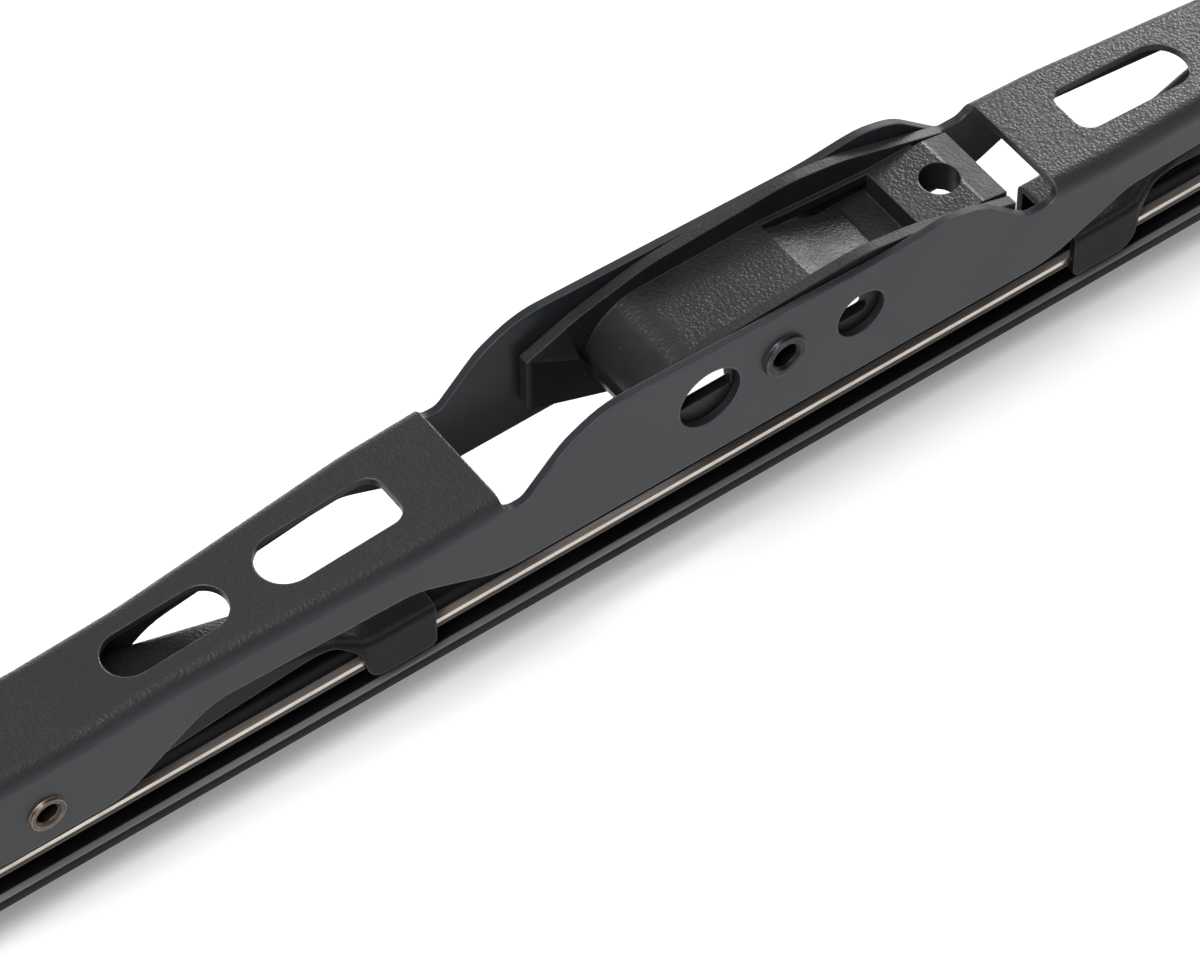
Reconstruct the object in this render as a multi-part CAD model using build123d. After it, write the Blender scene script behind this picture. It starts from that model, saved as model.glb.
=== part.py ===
from build123d import *
from math import cos, radians, sin, tan
import os

# Wiper blade, 350 mm: X along the blade, Y across it, Z up.
# The origin is on the axis of the arm pivot rivet, at mid width.

# Bridge sheet and overall layout
bridge_sheet = 0.9
bridge_bend = 1.8
middle_half_width = 7.65
end_half_width = 6.0
taper_start = 43.0
taper_end = 70.5
taper_blend = 30.0
bridge_half_length = 95.5
yoke_pivot_x = 86.4
yoke_pivot_z = -8.4

# Bridge top line
crest_z = 1.85
crest_end = 33.5
heel_x = 82.0
tip_z = -1.0

# Lower edge of the bridge walls
mid_wall_z = -8.9
mid_wall_end = 34.5
scallop_in_x = 44.2
scallop_in_z = -4.6
scallop_out_x = 67.2
scallop_out_z = -5.75
end_wall_x = 77.7
end_wall_z = -12.7
mid_wall_blend = 12.0
scallop_blend = 8.0
bridge_tip_blend = 5.0

# Window in the top and the two ears beside it
window_left = 34.15
window_right = 34.95
notch_z = -0.25
notch_blend = 1.6
ear_left_foot = 31.4
ear_left_mid = 26.5
ear_left_mid_z = 4.6
ear_left_top = 21.8
ear_left_top_z = 6.95
ear_low_x = 13.0
ear_low_z = 5.7
ear_right_top = 20.6
ear_right_top_z = 6.3
ear_right_mid = 25.1
ear_right_mid_z = 5.1
ear_right_foot = 31.2
ear_foot_blend = 1.5
ear_mid_blend = 8.0
ear_top_blend = 10.0
ear_low_blend = 40.0
ear_root = 1.0

# Slots in the top
inner_slot_start = 42.05
inner_slot_end = 57.6
inner_slot_width = 6.4
inner_slot_corner = 1.8
outer_slot_start = 61.5
outer_slot_end = 75.4
outer_slot_width = 5.6
slot_depth = 6.0

# Round holes in the walls for side-pin arms
big_hole_x = -9.1
big_hole_z = -0.25
big_hole_radius = 3.75
small_hole_x = 9.7
small_hole_z = -0.5
small_hole_radius = 2.95

# Hollow rivets
pivot_bore_radius = 1.45
pivot_shank_radius = 2.15
pivot_flange_radius = 2.65
pivot_flange = 0.5
yoke_rivet_bore_radius = 1.2
yoke_rivet_shank_radius = 1.7
yoke_rivet_flange_radius = 2.15
yoke_rivet_flange = 0.4
rivet_lip = 0.2
rivet_funnel = 0.35
running_clearance = 0.06

# Rails and rubber
rail_half_span = 3.86
rail_width = 2.1
rail_thickness = 0.8
rail_top_z = -16.3
rail_length = 348.0
rail_corner = 0.6
rubber_length = 350.0
slot_clearance = 0.04
head_top_z = -14.6
head_half_width = 3.09
head_taper = 0.35
head_round = 0.5
lip_half_width = 3.8
lip_thickness = 0.45
lip_under_drop = 0.2
neck_half_width = 1.0
fin_top_z = -20.35
fin_root_height = 0.5
fin_root_width = 1.0
fin_half_width = 4.5
fin_thickness = 1.4
fin_under_drop = 0.45
hinge_half_width = 0.45
hinge_height = 0.9
wedge_half_width = 2.4
wedge_top_drop = 0.25
wedge_shoulder = 0.8
edge_half_width = 0.35
edge_z = -27.8

# Yokes, measured from their own pivot
yoke_sheet = 0.8
yoke_bend = 1.0
claw_side_clearance = 0.14
claw_under_clearance = 0.1
yoke_neck_half_width = 3.8
yoke_waist_start = 12.0
yoke_waist_end = 31.0
yoke_waist_blend = 10.0
claw_flare_blend = 1.5
claw_inner = 38.1
claw_outer = 45.9
claw_flare_start = 3.4
claw_flare_end = 0.6
claw_lip_reach = 2.3
claw_lip_inset = 1.6
claw_lip_end_inset = 0.6
claw_corner = 2.2
claw_end_corner = 0.8
yoke_top_z = -4.3
yoke_back_x = 12.5
yoke_back_blend = 12.0
yoke_neck_x = 32.0
yoke_neck_z = -9.85
yoke_step_x = 38.5
yoke_step_blend = 6.0
yoke_claw_top_z = -12.4
yoke_hub_z = -11.7
yoke_hub_x = 7.0
yoke_under_x = 34.3
yoke_under_z = -11.3
yoke_under_blend = 20.0
yoke_arch_rise = 6.0
yoke_arch_x = 37.0
yoke_arch_z = -13.9
yoke_arch_blend = 3.0

# Arm clip
clip_side_gap = 0.2
clip_wall = 1.2
rim_left_x = 22.0
rim_left_z = 1.7
rim_rise_x = 15.7
rim_rise_z = 4.15
rim_peak_x = 7.2
rim_peak_z = 6.2
rim_crest_x = 10.5
rim_crest_z = 6.85
rim_fall_x = 17.2
rim_fall_z = 5.7
rim_right_x = 30.2
rim_right_z = 1.5
rim_blend = 20.0
cheek_left_z = -5.5
cheek_foot_x = 13.1
cheek_foot_z = -7.2
cheek_heel_x = 10.1
cheek_heel_z = -6.4
cheek_belly_x = 12.5
cheek_belly_z = -4.2
cheek_left_blend = 0.8
cheek_foot_blend = 1.2
cheek_heel_blend = 2.0
cheek_belly_blend = 6.0
cheek_tail_blend = 3.0
hub_radius = 5.8
pivot_tube_radius = 3.3
floor_z = 3.7
floor_thickness = 1.5
nose_x = -8.5
nose_radius = 6.35
nose_sweep = 115.0
tongue_start = 6.4
tongue_root = 1.0
tongue_end = 15.8
tongue_half_width = 4.2
tongue_fall = 19.3
tongue_thickness = 1.3
ledge_width = 0.6
ledge_thickness = 1.2
block_start = 20.0
block_step = 27.1
block_end = 30.2
block_top_z = 2.4
block_end_drop = 0.6
block_thickness = 4.0
block_overlap = 0.5
groove_start = 26.0
groove_width = 0.3
groove_depth = 0.5
web_start = 13.0
web_thickness = 1.2
block_hole_x = 25.5
block_hole_radius = 2.15
guide_reach = 1.7
guide_rim_x = 17.25
guide_waist_x = 16.2
guide_waist_z = -0.7
guide_toe = 1.0
left_light_x = -12.4
left_light_z = -1.3
right_light_x = 11.2
right_light_z = -1.7
left_light_slope = 1.2
left_light_run = 2.0
right_light_drop = 0.6
right_light_slope = 1.0
right_light_run = 2.0
light_corner = 0.4
light_top_gap = 0.2

through = 60.0
overrun = 5.0


def across(face, half):
    """Solid of a side view, from -half to +half across the blade."""
    return extrude(face, half, both=True)


def outline(points, radii):
    """Closed face in the side view, with one radius for each corner."""
    return Plane.XZ * make_face(FilletPolyline(*points, points[0], radius=radii))


def mirrored(points):
    """Points of one half, given from the middle outwards, for both halves."""
    return [(-x, z) for x, z in reversed(points)] + list(points)


def both_sides(solid):
    return solid + solid.mirror(Plane.XZ)


def bridge_top(drop, reach):
    """Top line of the bridge, lowered by drop, from end to end."""
    half = [
        (crest_end, crest_z - drop),
        (heel_x, tip_z - drop),
        (reach, tip_z - drop),
    ]
    return mirrored(half)


def bridge_side():
    """Side view of the bridge, with the scallop over each inner claw."""
    half = [
        (mid_wall_end, mid_wall_z),
        (scallop_in_x, scallop_in_z),
        (scallop_out_x, scallop_out_z),
        (end_wall_x, end_wall_z),
        (bridge_half_length, end_wall_z),
    ]
    blends = [mid_wall_blend, scallop_blend, scallop_blend, scallop_blend, bridge_tip_blend]
    top = bridge_top(0, bridge_half_length)
    return outline(top + mirrored(half)[::-1], [0] * 6 + blends[::-1] + blends)


def hollow_side(top, floor):
    """Side view of a channel's inside, below its top line and open elsewhere."""
    reach = top[-1][0]
    return Plane.XZ * make_face(Polyline(*top, (reach, floor), (-reach, floor), top[0]))


def plan(half, blends):
    """Plan of a channel, from the corners of its right front quarter."""
    near = FilletPolyline(*mirrored([(x, -y) for x, y in half]), radius=blends[::-1] + blends)
    reach, wide = half[-1]
    left = Line((-reach, -wide), (-reach, wide))
    right = Line((reach, -wide), (reach, wide))
    return make_face(Curve() + [near, near.mirror(Plane.XZ), left, right])


def bridge_plan(inset):
    """Plan of the bridge, set in by a sheet for its inside."""
    wide = middle_half_width - inset
    narrow = end_half_width - inset
    corners = [(taper_start, wide), (taper_end, narrow), (bridge_reach, narrow)]
    return plan(corners, [taper_blend, taper_blend])


def top_edges(solid, above):
    """Edges along the blade where the top meets the walls, higher than above(x)."""
    found = []
    for edge in solid.edges():
        middle = edge.position_at(0.5)
        if abs(edge.tangent_at(0.5).X) > 0.8 and middle.Z > above(abs(middle.X)):
            found.append(edge)
    return found


# Main bridge
bridge_reach = bridge_half_length + overrun
outer = across(bridge_side(), through) & extrude(bridge_plan(0), through, both=True)
outer = fillet(top_edges(outer, lambda x: tip_z - bridge_bend), bridge_bend)
inner = across(hollow_side(bridge_top(bridge_sheet, bridge_reach), end_wall_z * 2), through)
inner &= extrude(bridge_plan(bridge_sheet), through, both=True)
inner = fillet(top_edges(inner, lambda x: tip_z - bridge_bend), bridge_bend - bridge_sheet)
bridge = outer - inner

window = [
    (-window_left, through),
    (-window_left, notch_z),
    (window_right, notch_z),
    (window_right, through),
]
bridge -= across(outline(window, [0, notch_blend, notch_blend, 0]), through)

ear_side = [
    (notch_blend - window_left, notch_z),
    (-ear_left_foot, notch_z),
    (-ear_left_mid, ear_left_mid_z),
    (-ear_left_top, ear_left_top_z),
    (ear_low_x, ear_low_z),
    (ear_right_top, ear_right_top_z),
    (ear_right_mid, ear_right_mid_z),
    (ear_right_foot, notch_z),
    (window_right - notch_blend, notch_z),
    (window_right - notch_blend, notch_z - ear_root),
    (notch_blend - window_left, notch_z - ear_root),
]
ear_blends = [
    0,
    ear_foot_blend,
    ear_mid_blend,
    ear_top_blend,
    ear_low_blend,
    ear_top_blend,
    ear_mid_blend,
    ear_foot_blend,
    0,
    0,
    0,
]
ears = across(outline(ear_side, ear_blends), middle_half_width)
ears -= Box(through * 2, 2 * (middle_half_width - bridge_sheet), through)
bridge += ears

for side in (-1, 1):
    inner_middle = side * (inner_slot_start + inner_slot_end) / 2
    inner_length_x = inner_slot_end - inner_slot_start
    slot = RectangleRounded(inner_length_x, inner_slot_width, inner_slot_corner)
    cap = Pos(side * (inner_length_x - inner_slot_width) / 2, 0) * Circle(inner_slot_width / 2)
    keep = Pos(-side * inner_slot_width / 4, 0) * Rectangle(
        inner_length_x - inner_slot_width / 2, inner_slot_width
    )
    slot = (slot & keep) + cap
    bridge -= Pos(inner_middle, 0, crest_z) * extrude(slot, slot_depth, both=True)
    outer_middle = side * (outer_slot_start + outer_slot_end) / 2
    outer_slot = SlotOverall(outer_slot_end - outer_slot_start, outer_slot_width)
    bridge -= Pos(outer_middle, 0, crest_z) * extrude(outer_slot, slot_depth, both=True)


def cross_bore(x, z, radius):
    """Round bore across the blade."""
    return Pos(x, 0, z) * Rot(90, 0, 0) * Cylinder(radius, 2 * through)


bridge -= cross_bore(big_hole_x, big_hole_z, big_hole_radius)
bridge -= cross_bore(small_hole_x, small_hole_z, small_hole_radius)
bridge -= cross_bore(0, 0, pivot_shank_radius)
bridge -= cross_bore(-yoke_pivot_x, yoke_pivot_z, yoke_rivet_shank_radius)
bridge -= cross_bore(yoke_pivot_x, yoke_pivot_z, yoke_rivet_shank_radius)


def hollow_rivet(half_width, bore, shank, flange_radius, flange):
    """Tube with a rolled flange on the outside of each wall, turned about Y."""
    face = half_width + flange
    half = [
        (bore, face - rivet_funnel),
        (bore + rivet_funnel, face),
        (flange_radius - rivet_lip, face),
        (flange_radius, half_width),
        (shank, half_width),
    ]
    other = [(x, -y) for x, y in reversed(half)]
    return revolve(make_face(Polyline(*half, *other, half[0])), Axis.Y)


arm_pivot_rivet = hollow_rivet(
    middle_half_width, pivot_bore_radius, pivot_shank_radius, pivot_flange_radius, pivot_flange
)
yoke_rivet = hollow_rivet(
    end_half_width,
    yoke_rivet_bore_radius,
    yoke_rivet_shank_radius,
    yoke_rivet_flange_radius,
    yoke_rivet_flange,
)

# Rails and rubber
rail_bottom_z = rail_top_z - rail_thickness
rail_middle_y = rail_half_span - rail_width / 2
rail = Pos(0, rail_middle_y, rail_top_z - rail_thickness / 2) * Box(
    rail_length, rail_width, rail_thickness
)
rail = fillet(rail.edges().filter_by(Axis.Z), rail_corner)

lip_top_z = rail_bottom_z - slot_clearance
lip_bottom_z = lip_top_z - lip_thickness
slot_floor = rail_half_span - rail_width - slot_clearance
fin_bottom_z = fin_top_z - fin_thickness
hinge_top_z = fin_bottom_z - fin_under_drop
wedge_top_z = hinge_top_z - hinge_height
half_section = [
    (0, head_top_z),
    (head_half_width - head_taper, head_top_z),
    (head_half_width, rail_top_z + slot_clearance),
    (slot_floor, rail_top_z + slot_clearance),
    (slot_floor, lip_top_z),
    (lip_half_width, lip_top_z),
    (lip_half_width, lip_bottom_z),
    (neck_half_width, lip_bottom_z - lip_under_drop),
    (neck_half_width, fin_top_z + fin_root_height),
    (neck_half_width + fin_root_width, fin_top_z),
    (fin_half_width, fin_top_z),
    (fin_half_width, fin_bottom_z),
    (hinge_half_width, hinge_top_z),
    (hinge_half_width, wedge_top_z),
    (wedge_half_width, wedge_top_z - wedge_top_drop),
    (wedge_half_width, wedge_top_z - wedge_shoulder),
    (edge_half_width, edge_z),
    (0, edge_z),
]
other_half = [(-y, z) for y, z in reversed(half_section[1:-1])]
section = make_face(Plane.YZ * Polyline(*half_section, *other_half, half_section[0]))
rubber = extrude(section, rubber_length / 2, both=True)
rubber = fillet(
    rubber.edges().filter_by(Axis.X).group_by(Axis.Z)[-1],
    head_round,
)

# Yokes
yoke_slope = (yoke_top_z - yoke_neck_z) / (yoke_neck_x - yoke_back_x)


def yoke_above(x):
    """Height that parts a yoke's top edges from its lower ones, x from its pivot."""
    return max(yoke_claw_top_z, yoke_top_z - yoke_slope * max(x - yoke_back_x, 0)) - yoke_bend / 2


claw_inside = rail_half_span + claw_side_clearance
claw_half_width = claw_inside + yoke_sheet
claw_lip_top = lip_bottom_z - claw_under_clearance
claw_bottom_z = claw_lip_top - yoke_sheet


def yoke_top(drop, reach):
    """Top line of a yoke, lowered by drop, from claw to claw."""
    half = [
        (yoke_back_x, yoke_top_z - drop),
        (yoke_neck_x, yoke_neck_z - drop),
        (yoke_step_x, yoke_claw_top_z - drop),
        (reach, yoke_claw_top_z - drop),
    ]
    return mirrored(half)


def yoke_side():
    """Side view of a yoke, with its hub and its two claws."""
    half = [
        (yoke_hub_x, yoke_hub_z),
        (yoke_under_x, yoke_under_z),
        (yoke_arch_x, yoke_arch_z),
        (claw_inner, claw_bottom_z),
        (claw_outer, claw_bottom_z),
    ]
    blends = [yoke_under_blend, yoke_arch_rise, yoke_arch_blend, claw_corner, claw_end_corner]
    top = yoke_top(0, claw_outer)
    top_half = [yoke_back_blend, 0, yoke_step_blend, 0]
    return outline(
        top + mirrored(half)[::-1], top_half[::-1] + top_half + blends[::-1] + blends
    )


def yoke_plan(inset):
    """Plan of a yoke: full width at the pivot and claws, a waist between."""
    wide = claw_half_width - inset
    waist = yoke_neck_half_width - inset
    corners = [
        (yoke_waist_start, wide),
        (yoke_waist_end, waist),
        (claw_inner - claw_flare_start, waist),
        (claw_inner - claw_flare_end, wide),
        (claw_outer + overrun, wide),
    ]
    return plan(corners, [yoke_waist_blend, yoke_waist_blend, claw_flare_blend, claw_flare_blend])


yoke = across(yoke_side(), through) & extrude(yoke_plan(0), through, both=True)
yoke = fillet(top_edges(yoke, yoke_above), yoke_bend)
yoke_inside = yoke_top(yoke_sheet, claw_outer + overrun)
yoke_hollow = across(hollow_side(yoke_inside, claw_bottom_z * 2), through)
yoke_hollow &= extrude(yoke_plan(yoke_sheet), through, both=True)
yoke -= yoke_hollow

lip_start = claw_inner + claw_lip_inset
lip_length = claw_outer - claw_lip_end_inset - lip_start
lip_width = claw_half_width - claw_lip_reach
for side in (-1, 1):
    lip = Box(lip_length, lip_width, yoke_sheet)
    place = Pos(
        side * (lip_start + lip_length / 2),
        claw_lip_reach + lip_width / 2,
        claw_lip_top - yoke_sheet / 2,
    )
    yoke += both_sides(place * lip)
yoke -= cross_bore(0, yoke_pivot_z, yoke_rivet_shank_radius + running_clearance)

# Arm clip
clip_half_width = middle_half_width - bridge_sheet - clip_side_gap
clip_inside = clip_half_width - clip_wall
cheek_bottom_z = block_top_z - block_thickness
cheek_side = [
    (-rim_left_x, rim_left_z),
    (-rim_rise_x, rim_rise_z),
    (-rim_peak_x, rim_peak_z),
    (rim_crest_x, rim_crest_z),
    (rim_fall_x, rim_fall_z),
    (rim_right_x, rim_right_z),
    (rim_right_x, cheek_bottom_z),
    (block_start, cheek_bottom_z),
    (cheek_belly_x, cheek_belly_z),
    (-cheek_heel_x, cheek_heel_z),
    (-cheek_foot_x, cheek_foot_z),
    (-rim_left_x, cheek_left_z),
]
cheek_blends = [
    0,
    rim_blend,
    rim_blend,
    rim_blend,
    rim_blend,
    0,
    cheek_left_blend,
    cheek_tail_blend,
    cheek_belly_blend,
    cheek_heel_blend,
    cheek_foot_blend,
    cheek_left_blend,
]
cheek = across(outline(cheek_side, cheek_blends), clip_half_width)
cheek -= Box(through * 2, 2 * clip_inside, through)

hub = cross_bore(0, 0, hub_radius) & Box(through, 2 * clip_half_width, through)
light_top = floor_z - floor_thickness - light_top_gap
left_light = [
    (left_light_x, light_top - left_light_slope),
    (left_light_x, left_light_z),
    (0, left_light_z),
    (0, light_top),
    (left_light_x + left_light_run, light_top),
]
right_light_top = light_top - right_light_drop
right_light = [
    (right_light_x, right_light_top - right_light_slope),
    (right_light_x, right_light_z),
    (0, right_light_z),
    (0, right_light_top),
    (right_light_x - right_light_run, right_light_top),
]
lights = across(outline(left_light, [light_corner] * 5), through)
lights += across(outline(right_light, [light_corner] * 5), through)
cheek -= lights - hub

nose_z = floor_z - nose_radius
nose_ring = Pos(nose_x, nose_z) * (Circle(nose_radius) - Circle(nose_radius - floor_thickness))
nose_end_x = nose_radius * 2 * sin(radians(nose_sweep))
nose_end_z = nose_radius * 2 * cos(radians(nose_sweep))
nose_wedge = Polyline(
    (nose_x, nose_z),
    (nose_x, nose_z + 2 * nose_radius),
    (nose_x - 2 * nose_radius, nose_z + 2 * nose_radius),
    (nose_x - nose_end_x, nose_z + nose_end_z),
    (nose_x, nose_z),
)
nose = nose_ring & make_face(nose_wedge)
nose = across(Plane.XZ * nose, clip_inside)
floor_length = tongue_start - nose_x
floor_plate = Pos(nose_x + floor_length / 2, 0, floor_z - floor_thickness / 2) * Box(
    floor_length, 2 * clip_inside, floor_thickness
)
tongue_drop = (tongue_end - tongue_start) * tan(radians(tongue_fall))
tongue_side = [
    (tongue_start - tongue_root, floor_z),
    (tongue_start, floor_z),
    (tongue_end, floor_z - tongue_drop),
    (tongue_end, floor_z - tongue_drop - tongue_thickness),
    (tongue_start, floor_z - tongue_thickness),
    (tongue_start - tongue_root, floor_z - tongue_thickness),
]
tongue = across(outline(tongue_side, [0] * 6), tongue_half_width)

ledge_side = [
    (tongue_start - tongue_root, floor_z),
    (tongue_start, floor_z),
    (block_start + block_overlap, block_top_z),
    (block_start + block_overlap, block_top_z - ledge_thickness),
    (tongue_start, floor_z - ledge_thickness),
    (tongue_start - tongue_root, floor_z - ledge_thickness),
]
ledges = across(outline(ledge_side, [0] * 6), clip_inside)
ledges -= Box(through * 2, 2 * (clip_inside - ledge_width), through)

block_end_z = block_top_z - block_end_drop
block_side = [
    (block_start, block_top_z),
    (block_step, block_top_z),
    (block_end, block_end_z),
    (block_end, cheek_bottom_z),
    (block_start, cheek_bottom_z),
]
block = across(outline(block_side, [0] * 5), clip_inside)
block -= Pos(block_hole_x, 0, 0) * Cylinder(block_hole_radius, through)
groove_length = block_end + overrun - groove_start
groove = Pos(groove_start + groove_length / 2, clip_inside - groove_width / 2, block_top_z) * Box(
    groove_length, groove_width, 2 * (groove_depth + block_end_drop)
)
block -= both_sides(groove)

web_length = block_start + block_overlap - web_start
web = Pos(web_start + web_length / 2, 0, cheek_bottom_z + web_thickness / 2) * Box(
    web_length, 2 * clip_inside, web_thickness
)

guide_plan = Polyline(
    (-rim_left_x, clip_inside),
    (-cheek_foot_x, clip_inside - guide_reach),
    (-cheek_foot_x, clip_inside),
    (-rim_left_x, clip_inside),
)
rim_slope = (rim_rise_z - rim_left_z) / (rim_left_x - rim_rise_x)
guide_side = [
    (-rim_left_x, rim_left_z),
    (-rim_left_x, cheek_left_z),
    (-cheek_foot_x, cheek_foot_z),
    (-cheek_foot_x, cheek_foot_z + guide_toe),
    (-guide_waist_x, guide_waist_z),
    (-guide_rim_x, rim_left_z + rim_slope * (rim_left_x - guide_rim_x)),
]
guide = extrude(make_face(guide_plan), through, both=True)
guide &= across(outline(guide_side, [0, cheek_left_blend, 0, 0, 0, 0]), through)
guide_run = rim_left_x - guide_waist_x
guide_slant = guide_reach / (rim_left_x - cheek_foot_x)
rim_edge = Vector(1, 0, rim_slope)
crease = Vector(guide_run, -guide_run * guide_slant, guide_waist_z - rim_left_z)
facet = Plane(
    origin=(-rim_left_x, clip_inside, rim_left_z), x_dir=rim_edge, z_dir=crease.cross(rim_edge)
)
guide -= facet * Pos(0, 0, through / 2) * Box(through * 2, through * 2, through)

pivot_tube = cross_bore(0, 0, pivot_tube_radius) & Box(through, 2 * clip_inside, through)
clip = both_sides(guide) + cheek + nose + floor_plate + tongue + ledges + block + web + pivot_tube
clip -= cross_bore(0, 0, pivot_shank_radius + running_clearance)

nodes = {
    "main_bridge": bridge,
    "arm_pivot_rivet": arm_pivot_rivet,
    "arm_clip": clip,
    "left_yoke": Pos(-yoke_pivot_x, 0, 0) * yoke,
    "right_yoke": Pos(yoke_pivot_x, 0, 0) * yoke,
    "left_yoke_rivet": Pos(-yoke_pivot_x, 0, yoke_pivot_z) * yoke_rivet,
    "right_yoke_rivet": Pos(yoke_pivot_x, 0, yoke_pivot_z) * yoke_rivet,
    "wiper_rubber": rubber,
    "front_rail": rail.mirror(Plane.XZ),
    "back_rail": rail,
}

os.makedirs("parts", exist_ok=True)
for name, solid in nodes.items():
    export_step(solid, f"parts/{name}.step")
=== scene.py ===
"""Wiper blade: finishes for its pieces, swept rubber and rails, and a pale studio."""

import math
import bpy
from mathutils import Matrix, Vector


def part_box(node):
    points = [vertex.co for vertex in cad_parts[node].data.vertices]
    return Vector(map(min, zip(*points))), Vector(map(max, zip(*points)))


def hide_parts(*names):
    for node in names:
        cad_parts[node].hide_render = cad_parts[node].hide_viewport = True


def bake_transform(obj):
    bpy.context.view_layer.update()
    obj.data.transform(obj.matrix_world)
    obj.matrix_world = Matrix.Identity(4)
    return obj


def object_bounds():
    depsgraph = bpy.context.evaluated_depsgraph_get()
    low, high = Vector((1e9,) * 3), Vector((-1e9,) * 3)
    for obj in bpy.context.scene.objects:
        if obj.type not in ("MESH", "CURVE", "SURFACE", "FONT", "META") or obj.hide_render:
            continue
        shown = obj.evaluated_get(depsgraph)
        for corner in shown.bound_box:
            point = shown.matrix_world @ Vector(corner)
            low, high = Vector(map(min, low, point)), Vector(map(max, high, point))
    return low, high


bl_info = {
    "name": "Wiper blade",
    "version": (1, 0, 0),
    "blender": (4, 5, 0),
    "location": "View3D > Sidebar > Wiper blade",
    "description": "Dresses a framed wiper blade and sets a pale studio round it",
    "category": "Object",
}

import bmesh
import bpy
from bpy.props import FloatProperty, FloatVectorProperty, PointerProperty
from mathutils import Matrix, Vector

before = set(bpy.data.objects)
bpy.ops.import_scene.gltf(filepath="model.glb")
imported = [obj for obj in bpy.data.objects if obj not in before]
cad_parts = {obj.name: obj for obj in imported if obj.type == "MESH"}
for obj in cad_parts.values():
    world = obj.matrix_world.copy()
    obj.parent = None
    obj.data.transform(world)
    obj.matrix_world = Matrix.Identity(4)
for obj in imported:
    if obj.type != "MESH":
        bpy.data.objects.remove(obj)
cad_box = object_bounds()

MM = 0.001
FLOAT = "NodeSocketFloat"
VECTOR = "NodeSocketVector"

# Where a mask runs between a pair, it is none at the first value, whole at the second
MOST_OF_NOISE = (0.3, 0.7)
MIDDLE_OF_NOISE = (0.35, 0.65)

# Shared effects
FINE_WRINKLE = 2.6
FINE_WRINKLE_SHARE = 0.35
WIDE_WRINKLE = 0.35
WIDE_WRINKLE_SHARE = 0.5
WRINKLE_SOFTNESS = 0.6
VALLEY_SPAN = (0.62, 0.3)
BEVEL_SAMPLES = 6
EDGE_TURN = (0.97, 0.8)
# Patches that break up the edge mask of rubbed wear and painted highlight
WEAR_HIGHLIGHT_PATCH_SPAN = (0.25, 0.6)
WEAR_HIGHLIGHT_PATCH_LEVELS = (0.35, 1.0)
SPECK_CORE = 0.4
SPECK_PICK = (0.6, 0.75)

# Coat on the stamped sheet; clouds, grain, flow, pits and stains are counts per metre
TOP_FACING = (0.45, 0.9)
TOP_FADE = 1.0 * MM
TOP_SHINE = 0.5
BRIDGE_SHINE = 0.22
BRIDGE_PLAIN_HALF = 33.2 * MM
# Duller shine of the yokes' shaded copy of the coat
YOKE_SHADE_SHINE = 0.06
# Reach of the cut-edge mask for rubbed wear and painted highlight
COAT_WEAR_HIGHLIGHT_REACH = 0.3 * MM
COAT_CLOUDS = 90.0
COAT_GRAIN = 2600.0
COAT_GRAIN_SHARE = 0.07
WALL_ROUGH_SPREAD = (-0.04, 0.05)
COAT_INDEX = 1.5
CLOUD_LIGHTER = 1.5
# Painted shade in the wrinkle valleys, against the top coat's colour
VALLEY_PAINTED_SHADE = 0.35
VALLEY_ROUGHER = 0.2
CUT_EDGE_ROUGHER = 0.12
CUT_EDGE_DULLER = -0.2

# Moulded clip, with places from the pivot's axis
TROUGH_SIDE = (5.4 * MM, 5.1 * MM)
TROUGH_END = (27.6 * MM, 27.0 * MM)
TONGUE_FOOT = (6.3 * MM, 6.6 * MM)
TONGUE_TIP = (16.6 * MM, 16.2 * MM)
FLOOR_FACING = (0.85, 0.94)
RIM_FACING = (0.45, 0.8)
SIDE_FACING = (0.25, 0.05)
CLIP_EDGE_ROUND = 0.22 * MM
# Reach, strength and colour of the clip's edge mask: rubbed wear and a painted highlight
CLIP_WEAR_HIGHLIGHT_REACH = 0.2 * MM
CLIP_WEAR_HIGHLIGHT = 0.4
CLIP_WEAR_HIGHLIGHT_COLOUR = (0.12, 0.12, 0.12)
CLIP_DUST = 0.2
CLIP_DUST_COLOUR = (0.35, 0.35, 0.35)
CLIP_DUST_SPACING = 1.3 * MM
CLIP_DUST_SIZE = 0.09
CLIP_FLOW = 160.0
CLIP_FLOW_LIGHTER = 1.8
CLIP_FLOW_SPAN = (0.3, 0.75)
CLIP_FLOW_ROUGHER = 0.14
CLIP_FLOW_HEIGHT = 0.6
CLIP_SHINE = 0.5
CHEEK_ROUGHER = 0.1
CHEEK_SHINE = 0.1
CHEEK_GRAIN = 0.5
RIM_ROUGHER = 0.16
RIM_SHINE = -0.22
RIM_GRAIN = 0.6
SIDE_SHINE = -0.4
DULL_SHINE = -0.25
LEAST_GRAIN = 0.05

# Hollow rivets: metal, rubbed rim and roughness
PIVOT_RIVET = ((0.03, 0.03, 0.034), (0.14, 0.14, 0.15), 0.34)
YOKE_RIVET = ((0.1, 0.078, 0.064), (0.42, 0.34, 0.28), 0.3)
RIVET_EDGES = {"Round": 0.15 * MM, "WearHighlightReach": 0.3 * MM, "Breakup": 0.7 * MM}
RIVET_PITS = 3200.0
RIVET_STAINS = 500.0
STAIN_DARKER = 0.35
PIT_ROUGHER = 0.2
PIT_DEPTH = 0.03 * MM
RIVET_METALLIC = 0.85

# Steel rails
RAIL_FACE_FACING = (0.3, 0.8)
# Painted shade at the foot of the rail's edge: the level it reaches and its colour
RAIL_GAP_SHADE_TOP = (-16.95 * MM, -16.8 * MM)
RAIL_GAP_SHADE_COLOUR = (0.03, 0.027, 0.025)
RAIL_STAINS = 130.0
RAIL_STAIN_SPAN = (0.42, 0.75)
RAIL_DARKER = 0.6
RAIL_ROUGHNESS = (0.28, 0.46)
FACE_ROUGHER = 0.2
FACE_METALLIC = -0.9
RAIL_LINE_DEPTH = 0.02 * MM
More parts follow.
